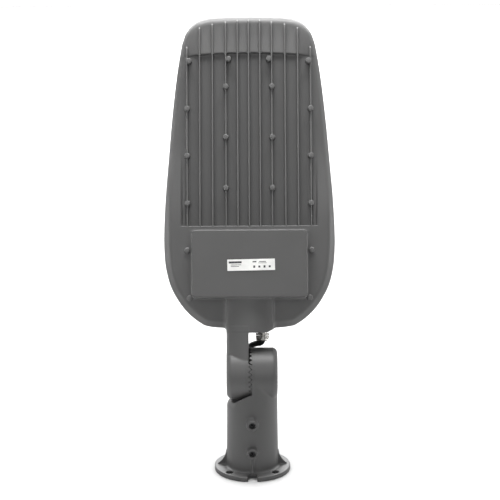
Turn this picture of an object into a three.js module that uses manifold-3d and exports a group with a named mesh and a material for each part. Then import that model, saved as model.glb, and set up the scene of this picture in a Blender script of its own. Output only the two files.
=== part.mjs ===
// Street luminaire head on a toothed swivel spigot, built in millimetres.
// Origin: centre of the flange's underside. +Z runs up the spigot, -Y is the finned rear, +Y the LED side.
import * as THREE from "three";
import { mergeVertices } from "three/addons/utils/BufferGeometryUtils.js";
import Module from "manifold-3d";

const wasm = await Module();
wasm.setup();

// ---------- driving dimensions ----------
const GAP = 0.3; // air between pieces that touch

const POLE = { boreR: 30.3, boreTop: 80, chamberR: 26, chamberTop: 89 };
const TUBE = { baseR: 34.8, topR: 33.8, topZ: 112 };
const FLANGE = { r: 51.2, thick: 6, edge: 1.2, holeR: 5, holeCircleR: 43, notchR: 6, notchEnd: 38 };
const UNDERSIDE = { innerR: 37, outerR: 47.6, depth: 3.2 }; // the ring-shaped hollow under the flange
const GUSSET = { thick: 3, topZ: 26, outerR: 46.5, kneeR: 37.4, kneeZ: 15, toeR: 40.5, toeZ: 9 };
const SET_SCREW = { bossR: 8, faceY: -42.5, holeR: 4.3, r: 3.95, length: 8, faceDepth: 4, zs: [35.5, 75.3] };
const CABLE = { r: 4, entrySlope: Math.PI / 4, entryY: 27, entryZ: 84, entryBossR: 9, entryLength: 20 };

const KNUCKLE = { z: 135, r: 34.3, halfWidth: 34, edge: 7.5, scoopR: 38.7, scoopFlare: 0.1, chamfer: 0.29 };
const CUTAWAY = { z: 88, x: -22, r: 12.6 }; // the rounded cut in the spigot's left shoulder
const TEETH = { count: 32, innerR: 13, turn: 3.3 };
TEETH.bracketRoot = -0.5;
TEETH.bracketTip = -2.3;
TEETH.headRoot = -4.4;
TEETH.headTip = -2.6;
const BOLT = { r: 4.9, holeR: 5.3, pocketR: 12.5, seatX: 22, headAcross: 17, headThick: 6.4 };
BOLT.washerR = 10;
BOLT.washerThick = 2;
BOLT.nutThick = 8;

const TILT = THREE.MathUtils.degToRad(16.875); // one and a half tooth pitches back from upright

const HEAD = { offsetX: -2.5, ledY: 22, rearY: -12, rimDrop: 8, rimWidth: 9, floorY: -3, wall: 3 };
HEAD.splitZ = 197; // the wall between the driver bay and the LED bay
const BED = { halfWidth: 87.4, sideSlope: 0.4 };
// Where the rear falls from the driver bulge to the fin bed.
const SHOULDER = { z: 205, endZ: 310, endY: -3.5 };
const NOSE = { stepZ: 431, crestY: -7.6, topZ: 476, topY: -1, flatHalf: 62, fadeHalf: 88 };
const NECK = { halfWidth: 31.8, endZ: 53.8, crownY: -30, crownR: 57, backY: 20, topZ: 106 };
NECK.cornerX = 23; // the slanted corner below the gland
NECK.cornerSlope = 32;
const ARM = { left: -33.8, right: -4.4, backY: 18, clearFrom: 12 };
const BULGE = { faceY: -38, faceWidth: 150, faceLow: 101.3, faceHigh: 191.2, cornerR: 4 };
BULGE.draft = 2;
BULGE.topDraft = 4.6;
const GLAND = { x: 16.8, y: 5, threadR: 6, across: 18.4, flangeThick: 3, domeLength: 7.5 };
const FIN = { thick: 1.9, crestY: -12, endY: -9.5, endDrop: 4 };
const BOSS = { r: 3.6, crestY: -15 };
const SCREW = { r: 1.5, headR: 3, headThick: 2.2, length: 12, pillarR: 4.2 };
const EARTH = { x: 60, z: 92 };
const LED_BOARD = { thick: 1.6, lowZ: 206, highZ: 462, chip: 1.8 };
const LEAD = { r: 1.3, passageY: 12, passageR: 3.5 };
const LABEL = { halfWidth: 31.4, halfHeight: 7.5, thick: 0.25, x: 2, z: 143.4 };
const LENS = { thick: 3, domeR: 8, domeHeight: 4.5 };

// Half-widths of the head's outline against height above the knuckle, from the crown round to the neck.
const OUTLINE = [
  [0, 479.3], [30, 479], [54.5, 477.6], [71.3, 472.3], [82.8, 461.6], [88.2, 450.6], [91.8, 438], [98.3, 396],
  [104.3, 341], [108.8, 287], [112.7, 232.5], [114.6, 190], [114.5, 165], [111.8, 138], [103.6, 111],
  [86, 84], [65.2, 66.6], [52, 62], [32, 60.4], [0, 60],
];

// Fin positions across the head and the height at which each one ends.
const FINS = [[0, 476], [15.1, 476], [31, 474], [48.9, 471], [66.1, 466], [83.2, 440]];

// Screw columns: the outer ones hold the lens panel, the inner ones the LED board, the low ones the cover.
const LENS_SCREWS = [[80.5, 421.8], [83.2, 356.9], [83.2, 292.9], [83.2, 228.4]];
const BOARD_SCREWS = [[27.1, 424.5], [31.2, 386.9], [31.2, 318.1], [31.2, 249.1]];
const COVER_SCREWS = [[83.2, 164.5], [80.3, 100.6]];

// ---------- materials ----------
function material(color, roughness, metalness) {
  return new THREE.MeshStandardMaterial({ color, roughness, metalness });
}
const PAINT = material(0x6d6c6a, 0.62, 0.1);
const STEEL = material(0xb9bcc0, 0.32, 0.95);
const BLACK_RUBBER = material(0x1b1b1c, 0.8, 0);
const GREY_PLASTIC = material(0xa9abad, 0.5, 0);
const LENS_PLASTIC = material(0xe8eef2, 0.12, 0);
LENS_PLASTIC.transparent = true;
LENS_PLASTIC.opacity = 0.5;
const BOARD_WHITE = material(0xe9e9e4, 0.55, 0);
const LABEL_WHITE = material(0xf1f1ee, 0.4, 0);
const BRASS = material(0xb8b4aa, 0.28, 0.9);
const WIRE_BLUE = material(0x4b6f95, 0.5, 0);

// ---------- solids ----------
function solid(geometry) {
  const bare = geometry.clone();
  bare.deleteAttribute("normal");
  bare.deleteAttribute("uv");
  const merged = mergeVertices(bare, 1e-4);
  const triVerts = new Uint32Array(merged.index.array);
  const vertProperties = new Float32Array(merged.attributes.position.array);
  const build = () => new wasm.Manifold(new wasm.Mesh({ numProp: 3, vertProperties, triVerts }));
  const made = build();
  if (made.volume() > 0) return made;
  for (let i = 0; i < triVerts.length; i += 3) {
    [triVerts[i + 1], triVerts[i + 2]] = [triVerts[i + 2], triVerts[i + 1]];
  }
  return build();
}

function geometryOf(manifold) {
  const mesh = manifold.getMesh();
  const positions = new Float32Array(mesh.numVert * 3);
  for (let i = 0; i < mesh.numVert; i++) {
    positions.set(mesh.vertProperties.subarray(i * mesh.numProp, i * mesh.numProp + 3), i * 3);
  }
  const geometry = new THREE.BufferGeometry();
  geometry.setAttribute("position", new THREE.BufferAttribute(positions, 3));
  geometry.setIndex(new THREE.BufferAttribute(new Uint32Array(mesh.triVerts), 1));
  geometry.computeVertexNormals();
  return geometry;
}

function union(pieces) {
  return pieces.reduce((sum, piece) => sum.add(piece));
}

function box(x0, x1, y0, y1, z0, z1) {
  const geometry = new THREE.BoxGeometry(x1 - x0, y1 - y0, z1 - z0);
  return solid(geometry.translate((x0 + x1) / 2, (y0 + y1) / 2, (z0 + z1) / 2));
}

// A straight round bar between two points, tapered if its second radius differs.
function rod(from, to, r, rEnd = r, segments = 32) {
  const a = new THREE.Vector3(...from);
  const b = new THREE.Vector3(...to);
  const geometry = new THREE.CylinderGeometry(rEnd, r, a.distanceTo(b), segments);
  const along = b.clone().sub(a).normalize();
  geometry.applyQuaternion(new THREE.Quaternion().setFromUnitVectors(new THREE.Vector3(0, 1, 0), along));
  const middle = a.add(b).multiplyScalar(0.5);
  return solid(geometry.translate(middle.x, middle.y, middle.z));
}

// A polygon of [y, z] points extruded along X.
function prismX(points, x0, x1) {
  const shape = new THREE.Shape(points.map(([y, z]) => new THREE.Vector2(y, z)));
  const geometry = new THREE.ExtrudeGeometry(shape, { depth: x1 - x0, bevelEnabled: false });
  const axes = new THREE.Matrix4().set(0, 0, 1, x0, 1, 0, 0, 0, 0, 1, 0, 0, 0, 0, 0, 1);
  return solid(geometry.applyMatrix4(axes));
}

// A polygon of [x, y] points extruded along Z.
function prismZ(points, z0, z1) {
  const shape = new THREE.Shape(points.map(([x, y]) => new THREE.Vector2(x, y)));
  const geometry = new THREE.ExtrudeGeometry(shape, { depth: z1 - z0, bevelEnabled: false });
  return solid(geometry.translate(0, 0, z0));
}

// A profile of [along, radius] points turned about the X, Y or Z axis.
function turned(profile, axis, segments = 48) {
  const points = profile.map(([along, r]) => new THREE.Vector2(r, along));
  const geometry = new THREE.LatheGeometry(points, segments);
  if (axis === "x") geometry.rotateZ(-Math.PI / 2);
  if (axis === "z") geometry.rotateX(Math.PI / 2);
  return solid(geometry);
}

// A skin over rings of equal length, closed at both ends.
function loft(rings) {
  const size = rings[0].length;
  const centre = (ring) => ring.reduce((sum, p) => sum.add(p), new THREE.Vector3()).divideScalar(size);
  const points = [...rings.flat(), centre(rings[0]), centre(rings[rings.length - 1])];
  const index = [];
  for (let i = 0; i < size; i++) {
    const next = (i + 1) % size;
    for (let ring = 0; ring + 1 < rings.length; ring++) {
      const low = ring * size;
      const high = low + size;
      index.push(low + i, low + next, high + next, low + i, high + next, high + i);
    }
    const last = (rings.length - 1) * size;
    index.push(points.length - 2, next, i, points.length - 1, last + i, last + next);
  }
  const geometry = new THREE.BufferGeometry().setFromPoints(points);
  geometry.setIndex(index);
  return solid(geometry);
}

function hexPrismX(across, x0, x1) {
  return rod([x0, 0, 0], [x1, 0, 0], across / Math.sqrt(3), across / Math.sqrt(3), 6);
}

// A ring of radial ridges about the X axis: the face alternates between root and tip.
function toothedRing(baseX, rootX, tipX, phase) {
  const rings = [];
  const steps = TEETH.count * 2;
  for (let k = 0; k < steps; k++) {
    const angle = ((k + phase) / steps) * Math.PI * 2 + THREE.MathUtils.degToRad(TEETH.turn);
    const faceX = k % 2 ? tipX : rootX;
    const at = (x, r) => new THREE.Vector3(x, r * Math.sin(angle), r * Math.cos(angle));
    const outer = KNUCKLE.r - GAP;
    rings.push([at(baseX, TEETH.innerR), at(baseX, outer), at(faceX, outer), at(faceX, TEETH.innerR)]);
  }
  const points = rings.flat();
  const index = [];
  for (let k = 0; k < steps; k++) {
    for (let side = 0; side < 4; side++) {
      const here = k * 4;
      const there = ((k + 1) % steps) * 4;
      const next = (side + 1) % 4;
      index.push(here + side, here + next, there + next, here + side, there + next, there + side);
    }
  }
  const geometry = new THREE.BufferGeometry().setFromPoints(points);
  geometry.setIndex(index);
  return solid(geometry);
}

function tube(points, r, segments = 40, around = 12) {
  const path = new THREE.CatmullRomCurve3(points.map((p) => new THREE.Vector3(...p)), false, "centripetal");
  const circle = new THREE.Shape().absarc(0, 0, r, 0, Math.PI * 2, false);
  return solid(
    new THREE.ExtrudeGeometry(circle, { steps: segments, curveSegments: around / 2, extrudePath: path }),
  );
}

const group = new THREE.Group();
group.name = "street_luminaire";
const head = new THREE.Group();
head.name = "tilting_head";
head.position.set(HEAD.offsetX, 0, KNUCKLE.z);
head.rotation.x = -TILT;
group.add(head);

function add(name, shape, look, parent = group) {
  const mesh = new THREE.Mesh(geometryOf(shape), look);
  mesh.name = name;
  parent.add(mesh);
  return mesh;
}

// The head stands a little to the left of the spigot, and its knuckle half is shifted back to the pivot.
function onKnuckle(shape) {
  return shape.translate([-HEAD.offsetX, 0, 0]);
}

// ---------- spigot bracket ----------
// The entry for the supply cable slopes up and out of the spigot's back.
const entryDirection = [0, Math.sin(CABLE.entrySlope), Math.cos(CABLE.entrySlope)];
const entryStart = [0, CABLE.entryY, CABLE.entryZ];
function alongEntry(distance) {
  return entryStart.map((value, axis) => value + entryDirection[axis] * distance);
}

function spigotBracket() {
  const edge = FLANGE.edge;
  const flange = turned([
    [0, 0], [0, FLANGE.r - edge], [edge, FLANGE.r], [FLANGE.thick - edge, FLANGE.r],
    [FLANGE.thick, FLANGE.r - edge], [FLANGE.thick, 0],
  ], "z", 48);
  const wall = rod([0, 0, 1], [0, 0, TUBE.topZ], TUBE.baseR, TUBE.topR, 40);
  const rightWall = rod([0, 0, TUBE.topZ - 1], [0, 0, KNUCKLE.z], TUBE.topR, TUBE.topR, 40)
    .intersect(box(TEETH.bracketRoot + 1, KNUCKLE.halfWidth, -40, 40, TUBE.topZ - 1, KNUCKLE.z));

  const edgeR = KNUCKLE.edge;
  const outerX = KNUCKLE.halfWidth;
  const ear = turned([
    [TEETH.bracketRoot + 1, 0], [TEETH.bracketRoot + 1, KNUCKLE.r], [outerX - edgeR, KNUCKLE.r],
    [outerX - edgeR * KNUCKLE.chamfer, KNUCKLE.r - edgeR * KNUCKLE.chamfer], [outerX, KNUCKLE.r - edgeR],
    [outerX, 0],
  ], "x", 40).translate([0, 0, KNUCKLE.z]);
  const teeth = toothedRing(TEETH.bracketRoot + 2, TEETH.bracketRoot, TEETH.bracketTip, 0)
    .translate([0, 0, KNUCKLE.z]);

  const scoopEnd = -40;
  const scoop = rod([scoopEnd, 0, KNUCKLE.z], [TEETH.bracketRoot, 0, KNUCKLE.z],
    KNUCKLE.scoopR - KNUCKLE.scoopFlare * scoopEnd, KNUCKLE.scoopR, 48);
  const { x: cutX, z: cutZ, r: cutR } = CUTAWAY;
  const shoulder = box(-40, 0, -40, 40, cutZ + 2, TUBE.topZ + 13)
    .subtract(rod([cutX, -40, cutZ], [cutX, 40, cutZ], cutR, cutR, 32))
    .subtract(box(cutX, 0, -41, 41, cutZ - 3, TUBE.topZ + 14));
  let body = union([flange, wall]).subtract(scoop).subtract(shoulder);
  body = union([body, rightWall, ear, teeth]);

  for (const turn of [0, 1, 2, 3]) {
    const reach = GUSSET.outerR;
    const root = TUBE.baseR - 2;
    const gusset = prismX([
      [root, 2], [reach, 2], [reach, FLANGE.thick + 1], [GUSSET.toeR, GUSSET.toeZ],
      [GUSSET.kneeR, GUSSET.kneeZ], [root + 3, GUSSET.topZ], [root, GUSSET.topZ],
    ], -GUSSET.thick / 2, GUSSET.thick / 2);
    body = body.add(gusset.rotate([0, 0, turn * 90]));
  }
  const { bossR, faceY, holeR } = SET_SCREW;
  for (const z of SET_SCREW.zs) {
    body = body.add(rod([0, -POLE.boreR - 1, z], [0, faceY, z], bossR, bossR - 0.4, 20));
  }
  body = body.add(rod(alongEntry(-3), alongEntry(CABLE.entryLength), CABLE.entryBossR, CABLE.entryBossR, 24));

  body = body.subtract(rod([0, 0, -1], [0, 0, POLE.boreTop], POLE.boreR, POLE.boreR, 40));
  const { boreTop, chamberTop, chamberR } = POLE;
  body = body.subtract(rod([0, 0, boreTop - 1], [0, 0, chamberTop], chamberR, chamberR, 24));
  for (const z of SET_SCREW.zs) {
    body = body.subtract(rod([0, -POLE.boreR + 2, z], [0, faceY - 1, z], holeR, holeR, 16));
  }
  const entryR = CABLE.r + 2.3;
  body = body.subtract(rod(alongEntry(-8), alongEntry(CABLE.entryLength + 1), entryR, entryR, 20));
  for (const turn of [0, 1, 2, 3]) {
    const away = FLANGE.holeCircleR;
    const hole = rod([away, 0, -1], [away, 0, FLANGE.thick + 1], FLANGE.holeR, FLANGE.holeR, 16);
    body = body.subtract(hole.rotate([0, 0, 45 + turn * 90]));
  }
  for (const side of [-1, 1]) {
    const r = FLANGE.notchR;
    const centreY = FLANGE.notchEnd + r;
    const high = FLANGE.thick + 3;
    const round = rod([0, side * centreY, -1], [0, side * centreY, high], r, r, 20);
    const mouth = box(-r, r, centreY, centreY + 16, -1, high).rotate([0, 0, side < 0 ? 180 : 0]);
    body = body.subtract(round).subtract(mouth);
  }
  const hollow = rod([0, 0, -1], [0, 0, UNDERSIDE.depth], UNDERSIDE.outerR, UNDERSIDE.outerR, 48)
    .subtract(rod([0, 0, -2], [0, 0, 9], UNDERSIDE.innerR, UNDERSIDE.innerR, 48));
  body = body.subtract(hollow);
  const boltHole = rod([-6, 0, KNUCKLE.z], [outerX + 1, 0, KNUCKLE.z], BOLT.holeR, BOLT.holeR, 24);
  const pocket = rod([BOLT.seatX, 0, KNUCKLE.z], [outerX + 1, 0, KNUCKLE.z], BOLT.pocketR);
  return body.subtract(boltHole).subtract(pocket);
}
add("spigot_bracket", spigotBracket(), PAINT);

// A rubber sleeve whose lip sits on the sloping face of the cable entry.
const sleeve = turned([
  [CABLE.entryLength - 9, CABLE.r + 0.5], [CABLE.entryLength - 9, CABLE.r + 2],
  [CABLE.entryLength + GAP, CABLE.r + 2],
  [CABLE.entryLength + GAP, CABLE.entryBossR - 1], [CABLE.entryLength + 2.5, CABLE.entryBossR - 2],
  [CABLE.entryLength + 2.5, CABLE.r + 0.5], [CABLE.entryLength - 9, CABLE.r + 0.5],
], "z", 20);
add("cable_grommet", sleeve, BLACK_RUBBER).rotation.x = -CABLE.entrySlope;
group.getObjectByName("cable_grommet").position.set(...entryStart);

// Two socket set screws clamp the pole from the rear; the hex socket faces out.
function setScrew() {
  const face = SET_SCREW.faceY + SET_SCREW.faceDepth;
  const socket = rod([0, face - 1, 0], [0, face + 4, 0], 2.3, 2.3, 6);
  const { r, length } = SET_SCREW;
  return turned([
    [face, 0], [face, r - 0.5], [face + 0.5, r], [face + length - 1.5, r], [face + length, r - 1.6],
    [face + length, 0],
  ], "y", 24).subtract(socket);
}
add("set_screw_lower", setScrew(), STEEL).position.z = SET_SCREW.zs[0];
add("set_screw_upper", setScrew(), STEEL).position.z = SET_SCREW.zs[1];

// ---------- pivot bolt, turning on the knuckle's axis ----------
const washerInner = BOLT.seatX + GAP;
const headInner = washerInner + BOLT.washerThick + GAP;
const boltEnd = -headInner - BOLT.nutThick - 1;
function washer(x0) {
  const ring = rod([x0, 0, 0], [x0 + BOLT.washerThick, 0, 0], BOLT.washerR, BOLT.washerR, 32);
  return ring.subtract(rod([x0 - 1, 0, 0], [x0 + BOLT.washerThick + 1, 0, 0], BOLT.holeR, BOLT.holeR, 24));
}
const pivotBolt = union([
  rod([boltEnd, 0, 0], [headInner + 1, 0, 0], BOLT.r, BOLT.r, 24),
  hexPrismX(BOLT.headAcross, headInner, headInner + BOLT.headThick),
]);
add("pivot_bolt", pivotBolt, STEEL).position.z = KNUCKLE.z;
add("pivot_bolt_washer", washer(washerInner), STEEL).position.z = KNUCKLE.z;
add("pivot_nut_washer", onKnuckle(washer(-washerInner - BOLT.washerThick)), STEEL, head);
const nutOuter = -headInner - BOLT.nutThick;
const nut = hexPrismX(BOLT.headAcross, nutOuter, -headInner)
  .subtract(rod([nutOuter - 1, 0, 0], [-headInner + 1, 0, 0], BOLT.r + 0.2, BOLT.r + 0.2, 24));
add("pivot_nut", onKnuckle(nut), STEEL, head);

// ---------- head outline ----------
const rightSide = new THREE.SplineCurve(OUTLINE.map(([x, z]) => new THREE.Vector2(x, z))).getPoints(30);
const leftSide = rightSide.slice(1, -1).reverse().map((p) => new THREE.Vector2(-p.x, p.y));
const outlinePoints = [...rightSide, ...leftSide];

// The outline moved inwards by an even distance. The depth is one number, or a function of height.
function outlineRing(inset, depth) {
  const size = outlinePoints.length;
  return outlinePoints.map((point, i) => {
    const before = outlinePoints[(i + size - 1) % size];
    const after = outlinePoints[(i + 1) % size];
    const tangent = after.clone().sub(before).normalize();
    const z = point.y - tangent.x * inset;
    return new THREE.Vector3(point.x + tangent.y * inset, typeof depth === "function" ? depth(z) : depth, z);
  });
}

function outlineSlab(inset, y0, y1) {
  return loft([outlineRing(inset, y0), outlineRing(inset, y1)]);
}

function mirrored(positions) {
  return positions.flatMap(([x, z]) => (x === 0 ? [[x, z]] : [[-x, z], [x, z]]));
}

// ---------- head housing ----------
function bulgeRing(y, grow, topGrow) {
  const halfWidth = BULGE.faceWidth / 2 + grow;
  const low = BULGE.faceLow - grow;
  const high = BULGE.faceHigh + topGrow;
  const r = BULGE.cornerR;
  const ring = [];
  const corners = [
    [halfWidth - r, low + r, -90], [halfWidth - r, high - r, 0],
    [r - halfWidth, high - r, 90], [r - halfWidth, low + r, 180],
  ];
  for (const [x, z, start] of corners) {
    for (let step = 0; step <= 4; step++) {
      const angle = THREE.MathUtils.degToRad(start + step * 22.5);
      ring.push(new THREE.Vector3(x + r * Math.cos(angle), y, z + r * Math.sin(angle)));
    }
  }
  return ring;
}

function crownedProfile(x0, x1, backY) {
  const centreY = NECK.crownY + NECK.crownR;
  const points = [[x1, backY], [x0, backY]];
  const steps = 10;
  for (let step = 0; step <= steps; step++) {
    const x = x0 + ((x1 - x0) * step) / steps;
    points.push([x, centreY - Math.sqrt(NECK.crownR ** 2 - x ** 2)]);
  }
  return points;
}

// Depth of the rear face at the rim: level beside the driver bulge, then falling to the fin bed.
function rearDepth(z) {
  const share = THREE.MathUtils.smoothstep(z, SHOULDER.z, SHOULDER.endZ);
  return HEAD.rearY + (SHOULDER.endY - HEAD.rearY) * share;
}

function headHousing() {
  const rim = HEAD.rimWidth;
  const drop = HEAD.rimDrop;
  const rearRing = (inset, fall) => outlineRing(inset, (z) => rearDepth(z) + fall);
  let body = loft([
    outlineRing(1.5, HEAD.ledY), outlineRing(0, HEAD.ledY - 1.5), rearRing(0, drop),
    rearRing(rim * 0.12, drop * 0.5), rearRing(rim * 0.45, drop * 0.16), rearRing(rim, 0),
    outlineRing(rim, HEAD.rearY - 8),
  ]);

  // The rear face's profile from the driver bulge to the top.
  const profile = [[HEAD.rearY - 20, 0], [HEAD.rearY, 0], [HEAD.rearY, SHOULDER.z]];
  for (let step = 1; step <= 6; step++) {
    const z = SHOULDER.z + ((SHOULDER.endZ - SHOULDER.z) * step) / 6;
    profile.push([rearDepth(z), z]);
  }
  profile.push([SHOULDER.endY, 500], [HEAD.rearY - 20, 500]);
  body = body.subtract(prismX(profile, -130, 130));

  // The fin bed, closed at its foot by the wall beside the driver bulge.
  const mouthY = HEAD.rearY - 3;
  const mouthHalf = BED.halfWidth + BED.sideSlope * (HEAD.floorY - mouthY);
  body = body.subtract(prismZ([
    [-BED.halfWidth, HEAD.floorY], [-mouthHalf, mouthY], [mouthHalf, mouthY], [BED.halfWidth, HEAD.floorY],
  ], HEAD.splitZ, SHOULDER.endZ + 5));

  // The raised nose above the bed, fading out towards both sides.
  const noseRing = (x, rise) => [
    [3, NOSE.stepZ], [SHOULDER.endY + 0.5 + (NOSE.crestY - SHOULDER.endY) * rise, NOSE.stepZ],
    [SHOULDER.endY + 0.5 + (NOSE.topY - SHOULDER.endY) * rise, NOSE.topZ], [3, NOSE.topZ],
  ].map(([y, z]) => new THREE.Vector3(x, y, z));
  const nose = loft([noseRing(-NOSE.fadeHalf, 0), noseRing(-NOSE.flatHalf, 1), noseRing(NOSE.flatHalf, 1),
    noseRing(NOSE.fadeHalf, 0)]);
  body = body.add(nose.intersect(outlineSlab(rim, HEAD.rearY - 8, HEAD.ledY - 2)));

  body = body.add(loft([bulgeRing(HEAD.rearY + 2, BULGE.draft, BULGE.topDraft),
    bulgeRing(BULGE.faceY + 3, 0.4, 1.4), bulgeRing(BULGE.faceY + 0.8, 0, 0.4),
    bulgeRing(BULGE.faceY, -1.4, -1)]));
  const neck = prismZ(crownedProfile(-NECK.halfWidth, NECK.halfWidth, NECK.backY), NECK.endZ, NECK.topZ);
  const armProfile = crownedProfile(ARM.left - HEAD.offsetX, ARM.right - HEAD.offsetX, ARM.backY);
  const arm = prismZ(armProfile, 0, NECK.endZ + 2);
  const edgeR = KNUCKLE.edge;
  const outerX = -KNUCKLE.halfWidth;
  const ear = turned([
    [outerX, 0], [outerX, KNUCKLE.r - edgeR],
    [outerX + edgeR * KNUCKLE.chamfer, KNUCKLE.r - edgeR * KNUCKLE.chamfer],
    [outerX + edgeR, KNUCKLE.r], [TEETH.headRoot - 1, KNUCKLE.r], [TEETH.headRoot - 1, 0],
  ], "x", 40);
  const teeth = toothedRing(TEETH.headRoot - 2, TEETH.headRoot, TEETH.headTip, 0.5);
  // No teeth beside the arm, so that the bracket's teeth stand clear of it there.
  const besideArm = rod([TEETH.headRoot, 0, 0], [5, 0, 0], KNUCKLE.r + 3, KNUCKLE.r + 3, 32)
    .intersect(box(TEETH.headRoot, 5, -40, 8, ARM.clearFrom, 40));
  body = union([body, neck, arm, onKnuckle(ear), onKnuckle(teeth.subtract(besideArm))]);

  // Hollows, all open to the LED side: driver bay, neck, and the LED bay behind the fins.
  const wall = HEAD.wall;
  const driverBay = outlineSlab(11, HEAD.rearY + wall, HEAD.ledY + 1)
    .intersect(box(-130, 130, HEAD.rearY, HEAD.ledY + 2, 70, HEAD.splitZ - 3.5));
  const bulgeBay = box(-BULGE.faceWidth / 2 + wall, BULGE.faceWidth / 2 - wall, BULGE.faceY + wall, 0,
    BULGE.faceLow + wall, BULGE.faceHigh - wall);
  const neckInner = NECK.halfWidth - 5;
  const neckBay = box(-neckInner, neckInner, -14, NECK.backY - 4, NECK.endZ + 6.5, NECK.topZ);
  const ledBay = outlineSlab(11, HEAD.floorY + wall, HEAD.ledY + 1)
    .intersect(box(-130, 130, HEAD.floorY, HEAD.ledY + 2, HEAD.splitZ + 3.5, NOSE.topZ));
  const seat = outlineSlab(5, HEAD.ledY - 4.2, HEAD.ledY + 1);
  const divider = box(-110, 110, HEAD.ledY - 5, HEAD.ledY - 4.2, HEAD.splitZ - 3.5, HEAD.splitZ + 3.5);
  body = body.subtract(union([driverBay, bulgeBay, neckBay, ledBay])).subtract(seat).add(divider);

  for (const [x, endZ] of mirrored(FINS)) {
    const half = FIN.thick / 2;
    body = body.add(prismX([
      [HEAD.floorY + 1, HEAD.splitZ - 1], [HEAD.floorY + 1, endZ - 2], [HEAD.floorY + 1, endZ],
      [FIN.endY + FIN.endDrop, endZ], [FIN.endY + 1, endZ - 1.2], [FIN.endY, endZ - FIN.endDrop],
      [FIN.crestY, HEAD.splitZ + 40], [FIN.crestY, HEAD.splitZ - 1],
    ], x - half, x + half));
  }

  const floorOf = (z) => (z > HEAD.splitZ ? HEAD.floorY + 1 : HEAD.rearY + 1);
  const allColumns = mirrored([...LENS_SCREWS, ...BOARD_SCREWS, ...COVER_SCREWS]);
  for (const [x, z] of allColumns) {
    body = body.add(rod([x, floorOf(z), z], [x, BOSS.crestY, z], BOSS.r, BOSS.r - 0.2, 10));
  }
  for (const [x, z] of mirrored([...LENS_SCREWS, ...COVER_SCREWS])) {
    body = body.add(rod([x, floorOf(z), z], [x, HEAD.ledY - 4.2, z], SCREW.pillarR, SCREW.pillarR, 8));
    body = body.subtract(rod([x, 6, z], [x, HEAD.ledY, z], SCREW.r + 0.4, SCREW.r + 0.4, 6));
  }
  for (const [x, z] of mirrored(BOARD_SCREWS)) {
    body = body.subtract(rod([x, -9, z], [x, HEAD.ledY, z], SCREW.r + 0.4, SCREW.r + 0.4, 6));
  }

  // Passages: the cable gland's thread, the leads through the divider, the pivot bolt and its nut's pocket.
  const { x, y, threadR } = GLAND;
  body = body.subtract(rod([x, y, NECK.endZ - 1], [x, y, NECK.endZ + 8], threadR + GAP));
  const { passageY, passageR } = LEAD;
  body = body.subtract(
    rod([0, passageY, HEAD.splitZ - 6], [0, passageY, HEAD.splitZ + 6], passageR, passageR, 20),
  );
  body = body.subtract(onKnuckle(rod([outerX - 1, 0, 0], [2, 0, 0], BOLT.holeR, BOLT.holeR, 24)));
  body = body.subtract(onKnuckle(rod([outerX - 1, 0, 0], [-BOLT.seatX, 0, 0], BOLT.pocketR)));
  const earthR = SCREW.r + 0.4;
  body = body.subtract(rod([EARTH.x, HEAD.rearY + 1, EARTH.z], [EARTH.x, 0, EARTH.z], earthR, earthR, 6));
  const slantedCorner = box(0, 20, -60, 40, 0, 12).rotate([0, -NECK.cornerSlope, 0])
    .translate([NECK.cornerX, 0, NECK.endZ - 12]);
  return body.subtract(slantedCorner);
}

add("head_housing", headHousing(), PAINT, head);

// ---------- cable gland on the neck's lower end ----------
const glandTop = NECK.endZ - GAP;
function hexPrismZ(across, z0, z1) {
  const r = across / Math.sqrt(3);
  return rod([GLAND.x, GLAND.y, z0], [GLAND.x, GLAND.y, z1], r, r, 6);
}
function glandBore(z0, z1) {
  return rod([GLAND.x, GLAND.y, z0], [GLAND.x, GLAND.y, z1], CABLE.r + GAP, CABLE.r + GAP, 20);
}
const glandBody = union([
  rod([GLAND.x, GLAND.y, glandTop - 2], [GLAND.x, GLAND.y, NECK.endZ + 14], GLAND.threadR, GLAND.threadR, 24),
  hexPrismZ(GLAND.across, glandTop - GLAND.flangeThick, glandTop),
]).subtract(glandBore(0, 100));
add("gland_body", glandBody, BRASS, head);
const nutTop = glandTop - GLAND.flangeThick - GAP;
const glandNut = union([
  hexPrismZ(GLAND.across - 0.8, nutTop - 5, nutTop),
  rod([GLAND.x, GLAND.y, nutTop - GLAND.domeLength + 2], [GLAND.x, GLAND.y, nutTop - 4], 6.4, 8.6, 24),
]).subtract(rod([GLAND.x, GLAND.y, 0], [GLAND.x, GLAND.y, 60], CABLE.r + 1.4, CABLE.r + 1.4, 24));
add("gland_nut", glandNut, BRASS, head);
const sealLow = nutTop - GLAND.domeLength + 2;
const glandSeal = rod([GLAND.x, GLAND.y, sealLow], [GLAND.x, GLAND.y, nutTop - 0.5], 5.1, 5.1, 24)
  .subtract(glandBore(0, 60));
add("gland_seal", glandSeal, BLACK_RUBBER, head);
const locknut = hexPrismZ(GLAND.across, NECK.endZ + 6.8, NECK.endZ + 10)
  .subtract(rod([GLAND.x, GLAND.y, 0], [GLAND.x, GLAND.y, 80], GLAND.threadR + GAP, GLAND.threadR + GAP, 24));
add("gland_locknut", locknut, BRASS, head);

// ---------- supply cable, from the gland round behind the knuckle into the spigot ----------
function headPoint(x, y, z) {
  return new THREE.Vector3(x, y, z).applyAxisAngle(new THREE.Vector3(1, 0, 0), -TILT)
    .add(head.position).toArray();
}
const cableRoute = [
  headPoint(GLAND.x, GLAND.y, 68), headPoint(GLAND.x, GLAND.y, 54), headPoint(GLAND.x, GLAND.y, 47),
  headPoint(GLAND.x, GLAND.y, 43.4), headPoint(GLAND.x - 2, GLAND.y + 3.4, 39.4), headPoint(11, 15, 38.6),
  headPoint(5, 26.5, 33), [-1, 42.5, 154], [-2, 48.5, 138], [-1.4, 50.6, 121],
  alongEntry(CABLE.entryLength + 9), alongEntry(CABLE.entryLength - 2), alongEntry(2), alongEntry(-6),
];
add("supply_cable", tube(cableRoute, CABLE.r, 32, 8), BLACK_RUBBER);

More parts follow.
